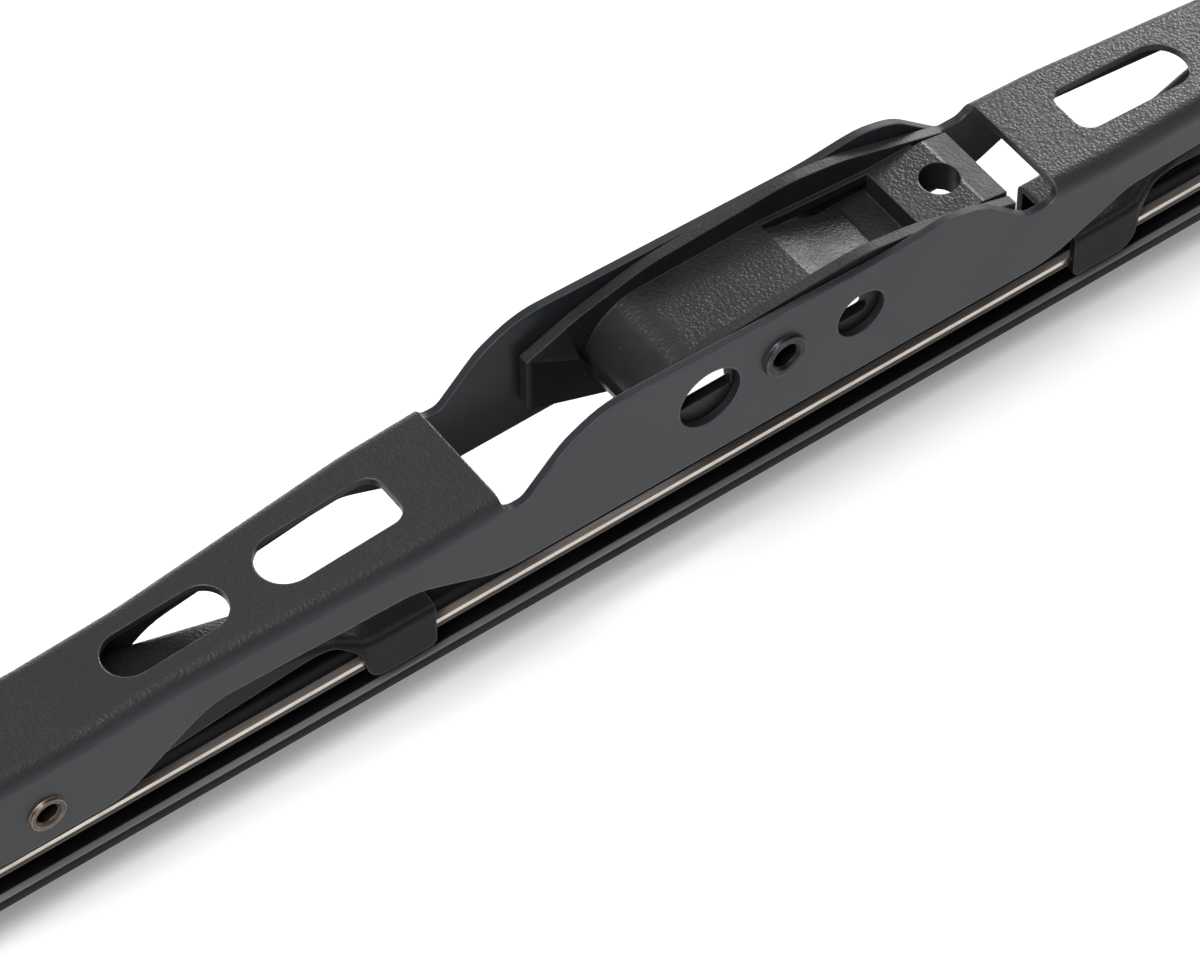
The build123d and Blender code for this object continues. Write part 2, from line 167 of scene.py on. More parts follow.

# Extruded rubber
# Painted light on the rubber: the upward shelf outside the rail's shadow, and the ledge
# edge under the rail
SHELF_FACING = (0.5, 0.9)
SHELF_SIDE = (3.6 * MM, 3.85 * MM)
LIP_LEVEL = (-18.2 * MM, -18.0 * MM)
LEDGE_PAINTED_LIGHT = 0.35
RUBBER_LINES = {"Line": 0.25 * MM, "Stretch": 0.05}
RUBBER_GRAIN = 3000.0
RUBBER_GRAIN_SHARE = 0.5
RUBBER_BLOOM = 70.0
RUBBER_BLOOM_SPAN = (0.35, 0.75)
BLOOM_LIGHTER = 1.9
RUBBER_SHINE = 0.06
RUBBER_ROUGH_SPREAD = (-0.08, 0.1)
RUBBER_LINE_DEPTH = 0.03 * MM

# Sections of the rubber and the rails, with levels from the pivot's axis
SLOT_GAP = 0.04 * MM
HEAD_TAPER = 0.35 * MM
LEDGE_TOP_HALF = 3.5 * MM
LEDGE_HALF = 3.8 * MM
LEDGE_CHAMFER = 0.2 * MM
LEDGE_DEPTH = 0.6 * MM
LEDGE_ROOT = 0.75 * MM
NECK_HALF = 1.0 * MM
NECK_FOOT = -19.85 * MM
FIN_ROOT_HALF = 2.0 * MM
FIN_TOP = -20.35 * MM
FIN_FOOT = -21.75 * MM
HINGE_HALF = 0.45 * MM
HINGE_TOP = -22.2 * MM
HINGE_FOOT = -23.1 * MM
WEDGE_HALF = 2.4 * MM
WEDGE_TOP = -23.35 * MM
WEDGE_FOOT = -24.15 * MM
EDGE_HALF = 0.35 * MM
RUBBER_CORNER = 0.1 * MM
RAIL_CORNER = 0.14 * MM
CORNER_POINTS = 4
CORNER_SHARE = 0.45
MERGE_REACH = 1e-7
SHARP_BEND = math.radians(40)

# Stage
CAMERA_RIGHT = Vector((0.80650, -0.59122, -0.00279))
CAMERA_DOWN = Vector((-0.45983, -0.62429, -0.63152))
CAMERA_BACK = Vector((-0.37163, -0.51060, 0.77536))
CAMERA_REACH = (0.01, 20.0)
WHITE = (1.0, 1.0, 1.0, 1.0)
FLOOR_WHITE = (0.92, 0.92, 0.92, 1.0)
FLOOR_HALF = 4.0
FLOOR_GAP = 0.3 * MM
GLOW_SPREAD = (0.35, 1.0)
LAMP_AIM = Vector((0.02, 0.0, 0.0))
KEY_PLACE = (0.66, 0.40, 0.30)
KEY_SIZE = 0.34
FILL_PLACE = (-0.50, -0.15, 0.85)
FILL_SIZE = 0.6
SKY_ALL_ROUND = 0.8
SKY_BEHIND = 0.2
SKY_BEHIND_SPAN = (-0.7, 0.3)
HORIZON_SPAN = (0.35, 0.15)


# Short hands for node trees


def set_inputs(tree, node, inputs):
    """Gives a node's inputs their values, or links the sockets they come from."""
    for key, value in inputs.items():
        if isinstance(value, bpy.types.NodeSocket):
            tree.links.new(value, node.inputs[key])
        else:
            node.inputs[key].default_value = value


def add_node(tree, kind, inputs=None, **settings):
    """A new node with its settings and inputs; an input takes a value or a socket."""
    node = tree.nodes.new(kind)
    for key, value in settings.items():
        setattr(node, key, value)
    set_inputs(tree, node, inputs or {})
    return node


def calc(tree, operation, a, b=0.0, c=0.0, clamp=False):
    """Output of a Math node."""
    node = add_node(tree, "ShaderNodeMath", {0: a, 1: b, 2: c}, operation=operation)
    node.use_clamp = clamp
    return node.outputs[0]


def vector_calc(tree, operation, a, b):
    """Vector output of a Vector Math node."""
    node = add_node(tree, "ShaderNodeVectorMath", {0: a, 1: b}, operation=operation)
    return node.outputs["Vector"]


def ramp(tree, value, low, high, to_low=0.0, to_high=1.0):
    """A smooth step of value from low to high."""
    inputs = {
        "Value": value,
        "From Min": low,
        "From Max": high,
        "To Min": to_low,
        "To Max": to_high,
    }
    return add_node(
        tree, "ShaderNodeMapRange", inputs, interpolation_type="SMOOTHSTEP"
    ).outputs["Result"]


def ramp_distance(tree, value, near, far):
    """A smooth step of how far value is from zero, on either side."""
    return ramp(tree, calc(tree, "ABSOLUTE", value), near, far)


def noise(tree, position, scale, detail=2.0, roughness=0.5, distortion=0.0):
    """Output value of a noise texture."""
    inputs = {
        "Vector": position,
        "Scale": scale,
        "Detail": detail,
        "Roughness": roughness,
        "Distortion": distortion,
    }
    return add_node(tree, "ShaderNodeTexNoise", inputs).outputs["Fac"]


def shade(colour, factor):
    """A colour made darker or lighter by a factor."""
    return [part * factor for part in colour]


def blend_colours(tree, share, first, second):
    """Mix of two colours by a share."""
    node = add_node(tree, "ShaderNodeMix", {0: share}, data_type="RGBA")
    for index, value in ((6, first), (7, second)):
        if not isinstance(value, bpy.types.NodeSocket):
            value = (*value[:3], 1.0)
        set_inputs(tree, node, {index: value})
    return node.outputs[2]


def seen_directly(tree):
    """One for what the camera sees, straight or in metal or glass, and else nothing."""
    rays = tree.nodes.new("ShaderNodeLightPath").outputs
    seen = calc(tree, "ADD", rays["Is Camera Ray"], rays["Is Glossy Ray"])
    return calc(tree, "ADD", seen, rays["Is Transmission Ray"], clamp=True)


def new_group(name, inputs, outputs):
    """A shader node group with named sockets: its tree, its inputs and its end node."""
    tree = bpy.data.node_groups.new(name, "ShaderNodeTree")
    for label, kind, value in inputs:
        socket = tree.interface.new_socket(
            name=label, in_out="INPUT", socket_type=kind
        )
        if value is not None:
            socket.default_value = value
    for label, kind in outputs:
        tree.interface.new_socket(name=label, in_out="OUTPUT", socket_type=kind)
    entry = tree.nodes.new("NodeGroupInput")
    leave = tree.nodes.new("NodeGroupOutput")
    return tree, entry.outputs, leave


def use_group(tree, name, inputs):
    """Places a shared group in a material and gives its outputs."""
    group = bpy.data.node_groups[name]
    return add_node(tree, "ShaderNodeGroup", inputs, node_tree=group).outputs


# Shared effects


def make_wrinkle_group():
    """Leather-like wrinkles of a powder coat: flat cells with soft valleys."""
    tree, entry, leave = new_group(
        "powder_wrinkle",
        [("Position", VECTOR, None), ("Cell", FLOAT, 0.7 * MM), ("Wander", FLOAT, 0.5)],
        [("Height", FLOAT), ("Valleys", FLOAT)],
    )
    scale = calc(tree, "DIVIDE", 1.0, entry["Cell"])
    bend = add_node(
        tree,
        "ShaderNodeTexNoise",
        {"Vector": entry["Position"], "Scale": scale, "Detail": 2.0},
    )
    centred = vector_calc(tree, "SUBTRACT", bend.outputs["Color"], (0.5, 0.5, 0.5))
    reach = calc(tree, "MULTIPLY", entry["Cell"], entry["Wander"])
    sized = add_node(
        tree,
        "ShaderNodeVectorMath",
        {0: centred, "Scale": reach},
        operation="SCALE",
    ).outputs["Vector"]
    cells = add_node(
        tree,
        "ShaderNodeTexVoronoi",
        {
            "Vector": vector_calc(tree, "ADD", entry["Position"], sized),
            "Scale": scale,
            "Smoothness": WRINKLE_SOFTNESS,
        },
        feature="SMOOTH_F1",
    )
    domes = calc(tree, "SUBTRACT", 1.0, cells.outputs["Distance"], clamp=True)
    fine_scale = calc(tree, "MULTIPLY", scale, FINE_WRINKLE)
    fine = noise(tree, entry["Position"], fine_scale, detail=3.0, roughness=0.6)
    wide_scale = calc(tree, "MULTIPLY", scale, WIDE_WRINKLE)
    wide = noise(tree, entry["Position"], wide_scale, detail=2.0, roughness=0.5)
    height = calc(tree, "MULTIPLY_ADD", fine, FINE_WRINKLE_SHARE, domes)
    height = calc(tree, "MULTIPLY_ADD", wide, WIDE_WRINKLE_SHARE, height)
    valleys = ramp(tree, domes, *VALLEY_SPAN)
    set_inputs(tree, leave, {"Height": height, "Valleys": valleys})


def make_edge_group():
    """Rounded normal at the cut edges of a sheet or moulding, and a mask there for rubbed
    wear and a painted highlight.
    """
    tree, entry, leave = new_group(
        "cut_edges",
        [
            ("Position", VECTOR, None),
            ("Round", FLOAT, 0.2 * MM),
            ("WearHighlightReach", FLOAT, 0.35 * MM),
            ("Breakup", FLOAT, 1.5 * MM),
        ],
        [("Normal", VECTOR), ("WearAndHighlight", FLOAT)],
    )
    soft = add_node(tree, "ShaderNodeBevel", {"Radius": entry["Round"]})
    wide = add_node(tree, "ShaderNodeBevel", {"Radius": entry["WearHighlightReach"]})
    soft.samples = wide.samples = BEVEL_SAMPLES
    flat = add_node(tree, "ShaderNodeNewGeometry")
    turn = add_node(
        tree,
        "ShaderNodeVectorMath",
        {0: wide.outputs["Normal"], 1: flat.outputs["True Normal"]},
        operation="DOT_PRODUCT",
    )
    edge = ramp(tree, turn.outputs["Value"], *EDGE_TURN)
    scale = calc(tree, "DIVIDE", 1.0, entry["Breakup"])
    breakup = noise(tree, entry["Position"], scale, detail=3.0)
    patch = ramp(tree, breakup, *WEAR_HIGHLIGHT_PATCH_SPAN, *WEAR_HIGHLIGHT_PATCH_LEVELS)
    # Mask for the lighter edge colour: partly rubbed wear, partly a painted highlight
    # along the cut edges
    rubbed = calc(tree, "MULTIPLY", edge, patch, clamp=True)
    set_inputs(tree, leave, {"Normal": soft.outputs["Normal"], "WearAndHighlight": rubbed})


def make_dust_group():
    """Sparse pale specks of dust and lint."""
    tree, entry, leave = new_group(
        "dust_specks",
        [
            ("Position", VECTOR, None),
            ("Spacing", FLOAT, 2.2 * MM),
            ("Size", FLOAT, 0.1),
        ],
        [("Specks", FLOAT)],
    )
    scale = calc(tree, "DIVIDE", 1.0, entry["Spacing"])
    cells = add_node(
        tree, "ShaderNodeTexVoronoi", {"Vector": entry["Position"], "Scale": scale}
    )
    near = add_node(
        tree,
        "ShaderNodeMapRange",
        {
            "Value": cells.outputs["Distance"],
            "From Min": entry["Size"],
            "From Max": calc(tree, "MULTIPLY", entry["Size"], SPECK_CORE),
        },
    ).outputs["Result"]
    pick = add_node(
        tree, "ShaderNodeSeparateColor", {"Color": cells.outputs["Color"]}
    ).outputs["Red"]
    some = ramp(tree, pick, *SPECK_PICK)
    specks = calc(tree, "MULTIPLY", near, some, clamp=True)
    set_inputs(tree, leave, {"Specks": specks})


def make_drawn_group():
    """Fine lines along the blade, as on drawn steel and extruded rubber."""
    tree, entry, leave = new_group(
        "drawn_lines",
        [
            ("Position", VECTOR, None),
            ("Line", FLOAT, 0.12 * MM),
            ("Stretch", FLOAT, 0.02),
        ],
        [("Lines", FLOAT)],
    )
    scale = calc(tree, "DIVIDE", 1.0, entry["Line"])
    along = add_node(
        tree, "ShaderNodeCombineXYZ", {"X": entry["Stretch"], "Y": 1.0, "Z": 1.0}
    ).outputs["Vector"]
    laid = vector_calc(tree, "MULTIPLY", entry["Position"], along)
    lines = noise(tree, laid, scale, detail=3.0, roughness=0.6)
    set_inputs(tree, leave, {"Lines": lines})


# Materials


def new_material(name):
    """An empty material with its shader, output and object coordinates."""
    material = bpy.data.materials.new(name)
    material.use_nodes = True
    tree = material.node_tree
    tree.nodes.clear()
    shader = tree.nodes.new("ShaderNodeBsdfPrincipled")
    output = tree.nodes.new("ShaderNodeOutputMaterial")
    tree.links.new(shader.outputs[0], output.inputs["Surface"])
    coordinates = tree.nodes.new("ShaderNodeTexCoord")
    return material, tree, shader, coordinates


def bump(tree, height, strength, distance, normal=None):
    """Normal of a Bump node, over another normal where there is one."""
    inputs = {"Strength": strength, "Distance": distance, "Height": height}
    if normal is not None:
        inputs["Normal"] = normal
    return add_node(tree, "ShaderNodeBump", inputs).outputs["Normal"]


def facing(tree, coordinates):
    """How far a face points up, and its place along, across and up the blade."""
    up = add_node(tree, "ShaderNodeSeparateXYZ", {0: coordinates.outputs["Normal"]})
    place = add_node(tree, "ShaderNodeSeparateXYZ", {0: coordinates.outputs["Object"]})
    return up.outputs["Z"], place.outputs


def sheet_coat(name, look, wall_colour, wall_shine, plain_half):
    """Black coat on stamped sheet: wrinkled wide tops with painted shade in the valleys,
    satin walls, cut edges lightened by rubbed wear and a painted highlight.

    Upper faces within plain_half of the blade's middle are cut edges, not tops.
    """
    material, tree, shader, coordinates = new_material(name)
    position = coordinates.outputs["Object"]
    up, place = facing(tree, coordinates)
    wide = ramp_distance(tree, place["X"], plain_half, plain_half + TOP_FADE)
    upward = ramp(tree, up, *TOP_FACING)
    top = calc(tree, "MULTIPLY", upward, wide)
    narrow = calc(tree, "SUBTRACT", upward, top)
    wrinkle = use_group(
        tree, "powder_wrinkle", {"Position": position, "Cell": look.wrinkle_cell}
    )
    edges = use_group(
        tree,
        "cut_edges",
        {"Position": position, "Round": look.edge_round, "WearHighlightReach": COAT_WEAR_HIGHLIGHT_REACH},
    )
    cloud = noise(tree, position, COAT_CLOUDS, detail=3.0, roughness=0.6)
    grain = noise(tree, position, COAT_GRAIN, detail=3.0, roughness=0.65)

    wall = blend_colours(tree, cloud, wall_colour, shade(wall_colour, CLOUD_LIGHTER))
    # Painted shade: the wrinkles' valleys are coloured darker than their tops
    valley_shade_colour = shade(look.top_colour, VALLEY_PAINTED_SHADE)
    deck = blend_colours(tree, wrinkle["Valleys"], look.top_colour, valley_shade_colour)
    # Lighter colour at the cut edges: partly rubbed wear, partly a painted highlight
    wear_highlight_share = calc(tree, "MULTIPLY", edges["WearAndHighlight"], look.edge_wear_and_highlight)
    coat = blend_colours(tree, top, wall, deck)
    colour = blend_colours(tree, wear_highlight_share, coat, look.edge_wear_highlight_colour)

    smooth, dull = (look.wall_roughness + part for part in WALL_ROUGH_SPREAD)
    rough_wall = ramp(tree, cloud, *MOST_OF_NOISE, smooth, dull)
    rough_top = calc(
        tree, "MULTIPLY_ADD", wrinkle["Valleys"], VALLEY_ROUGHER, look.top_roughness
    )
    wall_part = calc(tree, "MULTIPLY", rough_wall, calc(tree, "SUBTRACT", 1.0, top))
    rough = calc(tree, "MULTIPLY_ADD", rough_top, top, wall_part)
    rough = calc(tree, "MULTIPLY_ADD", narrow, CUT_EDGE_ROUGHER, rough)

    shine = ramp(tree, top, 0.0, 1.0, wall_shine, TOP_SHINE)
    shine = calc(tree, "MULTIPLY_ADD", narrow, wall_shine * CUT_EDGE_DULLER, shine)

    deck_height = calc(tree, "MULTIPLY", wrinkle["Height"], top)
    height = calc(tree, "MULTIPLY_ADD", grain, COAT_GRAIN_SHARE, deck_height)
    inputs = {
        "Base Color": colour,
        "Roughness": rough,
        "IOR": COAT_INDEX,
        "Specular IOR Level": shine,
        "Normal": bump(tree, height, 1.0, look.wrinkle_depth, edges["Normal"]),
    }
    set_inputs(tree, shader, inputs)
    return material


def moulded_plastic(name, look):
    """Black moulded plastic: grained floors, cheeks and rims, dull smooth sides."""
    material, tree, shader, coordinates = new_material(name)
    position = coordinates.outputs["Object"]
    up, place = facing(tree, coordinates)
    between = ramp_distance(tree, place["Y"], *TROUGH_SIDE)
    inboard = ramp(tree, place["X"], *TROUGH_END)
    trough = calc(tree, "MULTIPLY", between, inboard)
    floors = calc(tree, "MULTIPLY", ramp(tree, up, *FLOOR_FACING), trough)
    slopes = calc(tree, "SUBTRACT", trough, floors)
    outside = calc(tree, "SUBTRACT", 1.0, trough)
    rims = calc(tree, "MULTIPLY", ramp(tree, up, *RIM_FACING), outside)
    sides = ramp_distance(tree, up, *SIDE_FACING)
    cheeks = calc(tree, "MULTIPLY", sides, calc(tree, "SUBTRACT", 1.0, between))
    beyond_foot = ramp(tree, place["X"], *TONGUE_FOOT)
    before_tip = ramp(tree, place["X"], *TONGUE_TIP)
    tongue = calc(tree, "MULTIPLY", beyond_foot, before_tip)
    wrinkle = use_group(
        tree,
        "powder_wrinkle",
        {"Position": position, "Cell": look.clip_grain, "Wander": 1.0},
    )
    edges = use_group(
        tree,
        "cut_edges",
        {"Position": position, "Round": CLIP_EDGE_ROUND, "WearHighlightReach": CLIP_WEAR_HIGHLIGHT_REACH},
    )
    dust = use_group(
        tree,
        "dust_specks",
        {"Position": position, "Spacing": CLIP_DUST_SPACING, "Size": CLIP_DUST_SIZE},
    )["Specks"]
    flow = noise(
        tree, position, CLIP_FLOW, detail=4.0, roughness=0.6, distortion=0.6
    )

    lighter = shade(look.clip_colour, CLIP_FLOW_LIGHTER)
    colour = blend_colours(tree, flow, look.clip_colour, lighter)
    # Lighter colour at the clip's edges: partly rubbed wear, partly a painted highlight
    wear_highlight_share = calc(tree, "MULTIPLY", edges["WearAndHighlight"], CLIP_WEAR_HIGHLIGHT)
    colour = blend_colours(tree, wear_highlight_share, colour, CLIP_WEAR_HIGHLIGHT_COLOUR)
    specks = calc(tree, "MULTIPLY", dust, CLIP_DUST)
    colour = blend_colours(tree, specks, colour, CLIP_DUST_COLOUR)

    smooth = look.clip_roughness
    rough = ramp(tree, flow, *CLIP_FLOW_SPAN, smooth, smooth + CLIP_FLOW_ROUGHER)
    rough = calc(tree, "MULTIPLY_ADD", cheeks, CHEEK_ROUGHER, rough)
    rough = calc(tree, "MULTIPLY_ADD", rims, RIM_ROUGHER, rough)

    shine = calc(tree, "MULTIPLY_ADD", rims, RIM_SHINE, CLIP_SHINE)
    shine = calc(tree, "MULTIPLY_ADD", sides, SIDE_SHINE, shine)
    shine = calc(tree, "MULTIPLY_ADD", cheeks, CHEEK_SHINE, shine)
    dull = calc(tree, "MULTIPLY_ADD", floors, tongue, slopes)
    shine = calc(tree, "MULTIPLY_ADD", dull, DULL_SHINE, shine)

    deep = calc(tree, "ADD", floors, LEAST_GRAIN)
    deep = calc(tree, "MULTIPLY_ADD", cheeks, CHEEK_GRAIN, deep)
    deep = calc(tree, "MULTIPLY_ADD", rims, RIM_GRAIN, deep)
    height = calc(tree, "MULTIPLY", wrinkle["Height"], deep)
    height = calc(tree, "MULTIPLY_ADD", flow, CLIP_FLOW_HEIGHT, height)
    inputs = {
        "Base Color": colour,
        "Roughness": rough,
        "Specular IOR Level": shine,
        "Normal": bump(tree, height, 1.0, look.clip_depth, edges["Normal"]),
    }
    set_inputs(tree, shader, inputs)
    return material


def rivet_metal(name, metal, rim, roughness):
    """Rolled rivet: a dark or worn bronze metal with a lighter rubbed rim."""
    material, tree, shader, coordinates = new_material(name)
    position = coordinates.outputs["Object"]
    edges = use_group(tree, "cut_edges", {"Position": position, **RIVET_EDGES})
    pits = noise(tree, position, RIVET_PITS, detail=4.0, roughness=0.65)
    stain = noise(tree, position, RIVET_STAINS, detail=3.0, roughness=0.6)
    stained = ramp(tree, stain, *MIDDLE_OF_NOISE)
    body = blend_colours(tree, stained, metal, shade(metal, STAIN_DARKER))
    inputs = {
        "Base Color": blend_colours(tree, edges["WearAndHighlight"], body, rim),
        "Roughness": ramp(
            tree, pits, *MIDDLE_OF_NOISE, roughness, roughness + PIT_ROUGHER
        ),
        "Metallic": RIVET_METALLIC,
        "Normal": bump(tree, pits, 0.6, PIT_DEPTH, edges["Normal"]),
    }
    set_inputs(tree, shader, inputs)
    return material


def rail_metal(name, look):
    """Spring steel rail: bright warm cut edge with a painted shadow line at its foot, dull
    brown-grey face, drawn lines.
    """
    material, tree, shader, coordinates = new_material(name)
    position = coordinates.outputs["Object"]
    up, place = facing(tree, coordinates)
    dull = ramp(tree, up, *RAIL_FACE_FACING)
    cut = ramp(tree, place["Z"], *RAIL_GAP_SHADE_TOP)
    lines = use_group(tree, "drawn_lines", {"Position": position})["Lines"]
    stain = noise(tree, position, RAIL_STAINS, detail=4.0, roughness=0.65)
    bright = blend_colours(
        tree,
        ramp(tree, stain, *RAIL_STAIN_SPAN),
        look.rail_colour,
        shade(look.rail_colour, RAIL_DARKER),
    )
    face = blend_colours(
        tree,
        ramp(tree, lines, *MIDDLE_OF_NOISE),
        look.rail_face_colour,
        shade(look.rail_face_colour, RAIL_DARKER),
    )
    # Painted shade: the lowest strip of the rail's edge is coloured dark for the shadowed
    # gap below it
    edge = blend_colours(tree, cut, RAIL_GAP_SHADE_COLOUR, bright)
    rough = ramp(tree, lines, *MOST_OF_NOISE, *RAIL_ROUGHNESS)
    inputs = {
        "Base Color": blend_colours(tree, dull, edge, face),
        "Metallic": calc(tree, "MULTIPLY_ADD", dull, FACE_METALLIC, 1.0),
        "Roughness": calc(tree, "MULTIPLY_ADD", dull, FACE_ROUGHER, rough),
        "Normal": bump(tree, lines, 0.5, RAIL_LINE_DEPTH),
    }
    set_inputs(tree, shader, inputs)
    return material


def extruded_rubber(name, look):
    """Natural rubber with fine extrusion lines, with painted light in grey on its shelf
    outside the rail's shadow and on its ledge edge.
    """
    material, tree, shader, coordinates = new_material(name)
    position = coordinates.outputs["Object"]
    up, place = facing(tree, coordinates)
    inputs = {"Position": position, **RUBBER_LINES}
    lines = use_group(tree, "drawn_lines", inputs)["Lines"]
    grain = noise(tree, position, RUBBER_GRAIN, detail=3.0, roughness=0.6)
    bloom = noise(tree, position, RUBBER_BLOOM, detail=3.0, roughness=0.6)
    fresh = blend_colours(
        tree,
        ramp(tree, bloom, *RUBBER_BLOOM_SPAN),
        look.rubber_colour,
        shade(look.rubber_colour, BLOOM_LIGHTER),
    )
    outer = ramp_distance(tree, place["Y"], *SHELF_SIDE)
    shelf = calc(tree, "MULTIPLY", ramp(tree, up, *SHELF_FACING), outer)
    lip = calc(tree, "MULTIPLY", ramp(tree, place["Z"], *LIP_LEVEL), outer)
    # Painted light: the outer shelf, beyond the rail's shadow, and the ledge's outer edge
    # are coloured grey as if lit
    grey = calc(tree, "MULTIPLY_ADD", lip, LEDGE_PAINTED_LIGHT, shelf, clamp=True)
    smooth, dull = (look.rubber_roughness + part for part in RUBBER_ROUGH_SPREAD)
    height = calc(tree, "MULTIPLY_ADD", grain, RUBBER_GRAIN_SHARE, lines)
    inputs = {
        "Base Color": blend_colours(tree, grey, fresh, look.rubber_painted_light_colour),
        "Roughness": ramp(tree, lines, *MOST_OF_NOISE, smooth, dull),
        "Specular IOR Level": RUBBER_SHINE,
        "Normal": bump(tree, height, 0.7, RUBBER_LINE_DEPTH),
    }
    set_inputs(tree, shader, inputs)
    return material


def dress(node_name, material):
    """Gives a CAD node its material."""
    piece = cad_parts[node_name]
    piece.data.materials.clear()
    piece.data.materials.append(material)


# Rubber and rails: one section swept along the blade


def rounded(corners, default):
    """Closed outline with its corners rounded; a corner is (y, z) or (y, z, radius)."""
    outline = []
    count = len(corners)
    for index, corner in enumerate(corners):
        here = Vector(corner[:2])
        before = Vector(corners[index - 1][:2]) - here
        after = Vector(corners[(index + 1) % count][:2]) - here
        radius = corner[2] if len(corner) > 2 else default
        radius = min(radius, before.length * CORNER_SHARE, after.length * CORNER_SHARE)
        start = here + before.normalized() * radius
        end = here + after.normalized() * radius
        for point in range(CORNER_POINTS):
            t = point / (CORNER_POINTS - 1)
            outline.append(start.lerp(here, t).lerp(here.lerp(end, t), t))
    return outline


def sweep_tree():
    """Geometry Nodes: sweeps the mesh outline along X between two stations."""
    tree = bpy.data.node_groups.new("sweep_along_blade", "GeometryNodeTree")
    sockets = tree.interface
    sockets.new_socket(name="Outline", in_out="INPUT", socket_type="NodeSocketGeometry")
    for label, value in (("From", 0.0), ("To", 0.175), ("Step", 0.002)):
        socket = sockets.new_socket(name=label, in_out="INPUT", socket_type=FLOAT)
        socket.default_value = value
    sockets.new_socket(name="Finish", in_out="INPUT", socket_type="NodeSocketMaterial")
    sockets.new_socket(name="Strip", in_out="OUTPUT", socket_type="NodeSocketGeometry")
    entry = tree.nodes.new("NodeGroupInput").outputs
    leave = tree.nodes.new("NodeGroupOutput")
    start = add_node(tree, "ShaderNodeCombineXYZ", {"X": entry["From"]})
    end = add_node(tree, "ShaderNodeCombineXYZ", {"X": entry["To"]})
    line = add_node(
        tree,
        "GeometryNodeCurvePrimitiveLine",
        {"Start": start.outputs[0], "End": end.outputs[0]},
    )
    along = add_node(
        tree,
        "GeometryNodeResampleCurve",
        {"Curve": line.outputs[0], "Length": entry["Step"]},
        mode="LENGTH",
    )
    upright = add_node(
        tree,
        "GeometryNodeSetCurveNormal",
        {"Curve": along.outputs[0]},
        mode="Z_UP",
    )
    outline = add_node(tree, "GeometryNodeMeshToCurve", {"Mesh": entry["Outline"]})
    swept = add_node(
        tree,
        "GeometryNodeCurveToMesh",
        {
            "Curve": upright.outputs[0],
            "Profile Curve": outline.outputs[0],
            "Fill Caps": True,
        },
    )
    real = add_node(tree, "GeometryNodeRealizeInstances", {0: swept.outputs[0]})
    painted = add_node(
        tree,
        "GeometryNodeSetMaterial",
        {"Geometry": real.outputs[0], "Material": entry["Finish"]},
    )
    tree.links.new(painted.outputs[0], leave.inputs[0])
    return tree


def sweep(name, outline, start, end, step, material):
    """A closed strip of one section between two stations along the blade."""
    mesh = bpy.data.meshes.new(name + "_outline")
    count = len(outline)
    points = [(-point.x, -point.y, 0.0) for point in outline]
    mesh.from_pydata(points, [(i, (i + 1) % count) for i in range(count)], [])
    holder = bpy.data.objects.new(name + "_outline", mesh)
    bpy.context.scene.collection.objects.link(holder)
    modifier = holder.modifiers.new("sweep", "NODES")
    tree = bpy.data.node_groups.get("sweep_along_blade") or sweep_tree()
    modifier.node_group = tree
    values = {"From": start, "To": end, "Step": step, "Finish": material}
    for item in tree.interface.items_tree:
        if item.in_out == "INPUT" and item.name in values:
            modifier[item.identifier] = values[item.name]
    bpy.context.view_layer.update()
    graph = bpy.context.evaluated_depsgraph_get()
    result = bpy.data.meshes.new_from_object(holder.evaluated_get(graph))
    bpy.data.objects.remove(holder)
    result.name = name
    piece = bpy.data.objects.new(name, result)
    bpy.context.scene.collection.objects.link(piece)
    return piece


def settle_faces(piece, bend):
    """Merges doubles, points faces outwards and smooths all but the sharp edges."""
    work = bmesh.new()
    work.from_mesh(piece.data)
    bmesh.ops.remove_doubles(work, verts=work.verts, dist=MERGE_REACH)
    bmesh.ops.recalc_face_normals(work, faces=work.faces)
    for face in work.faces:
        face.smooth = True
    for edge in work.edges:
        if len(edge.link_faces) == 2 and edge.calc_face_angle(0.0) > bend:
            edge.smooth = False
    work.to_mesh(piece.data)
    work.free()


def strip_both_ways(stem, outline, reach, step, material, node_name):
    """Left and right halves of a strip, one on each side of the blade's middle."""
    for side, word, carrier in (
        (-1, "left", "left_carrier"),
        (1, "right", "right_carrier"),
    ):
        low, high = sorted((0.0, side * reach))
        piece = sweep(f"{stem}_{word}", outline, low, high, step, material)
        settle_faces(piece, SHARP_BEND)
        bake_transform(piece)
        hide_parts(node_name)


# Sizes and colours that a user would change


class WiperSizes(bpy.types.PropertyGroup):
    """Sizes of the rubber and the rails."""

    rubber_half_length: FloatProperty(
        name="Rubber half length",
        description="From the middle of the blade to the rubber's end",
        default=175.0 * MM,
        unit="LENGTH",
    )
    rail_half_length: FloatProperty(
        name="Rail half length",
        description="From the middle of the blade to the rail's end",
        default=174.0 * MM,
        unit="LENGTH",
    )
    head_half_width: FloatProperty(
        name="Head half width",
        description="Half the width of the rubber's head over the rails",
        default=3.09 * MM,
        unit="LENGTH",
    )
    fin_half_width: FloatProperty(
        name="Fin half width",
        description="Half the width of the rubber's fin",
        default=4.5 * MM,
        unit="LENGTH",
    )
    rail_half_span: FloatProperty(
        name="Rail half span",
        description="From the middle plane to a rail's outer edge",
        default=3.86 * MM,
        unit="LENGTH",
    )
    rail_width: FloatProperty(
        name="Rail width",
        description="Width of one rail",
        default=2.1 * MM,
        unit="LENGTH",
    )
    section_step: FloatProperty(
        name="Section step",
        description="Distance between sections along the rubber and rails",
        default=2.5 * MM,
        unit="LENGTH",
    )
    bend_start: FloatProperty(
        name="Bend start",
        description="Where the rubber starts to follow a yoke",
        default=20.0 * MM,
        unit="LENGTH",
    )
    bend_end: FloatProperty(
        name="Bend end",
        description="Where the rubber follows the yoke fully, at its inner claw",
        default=43.0 * MM,
        unit="LENGTH",
    )


